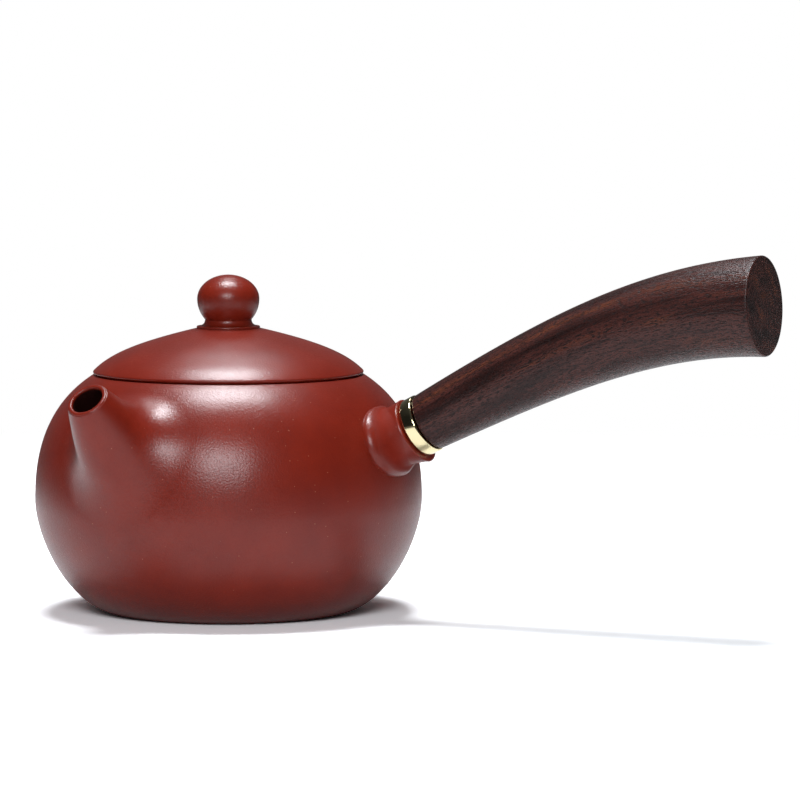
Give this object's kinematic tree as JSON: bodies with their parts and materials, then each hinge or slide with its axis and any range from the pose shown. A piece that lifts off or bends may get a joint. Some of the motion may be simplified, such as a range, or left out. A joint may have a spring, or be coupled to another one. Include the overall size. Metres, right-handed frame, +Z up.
{
  "type": "teapot",
  "caption": "Side-handled unglazed clay teapot with a round body, a short spout, a lift-off domed lid with a ball knob, and a curved dark wooden grip in a brass-ringed socket.",
  "frame": {"origin": "centre of the pot's flat base, on the surface it stands on", "axes": "+Z up along the pot's axis, +X along the horizontal direction in which the grip leans out, so the spout points near -Y"},
  "size_m": [0.1945, 0.1094, 0.0933],
  "materials": {
    "pot_clay": "unglazed, burnished satin",
    "lid_clay": "unglazed, burnished satin",
    "inner_clay": "unglazed, matt",
    "polished_brass": "polished",
    "dark_wood": "oiled satin"
  },
  "bodies": {
    "pot": {"pot_body": "pot_clay", "mouth_ring": "pot_clay", "spout": "pot_clay", "strainer": "inner_clay", "handle_socket": "pot_clay", "ferrule": "polished_brass", "handle_grip": "dark_wood"},
    "lid": {"lid_plate": "lid_clay", "lid_flange": "inner_clay", "knob_collar": "lid_clay", "lid_knob": "lid_clay"}
  },
  "joints": [
    {"name": "lid_lift", "type": "slide", "parent": "pot", "child": "lid", "axis": [0, 0, 1], "range_m": [0, 0.05]}
  ]
}
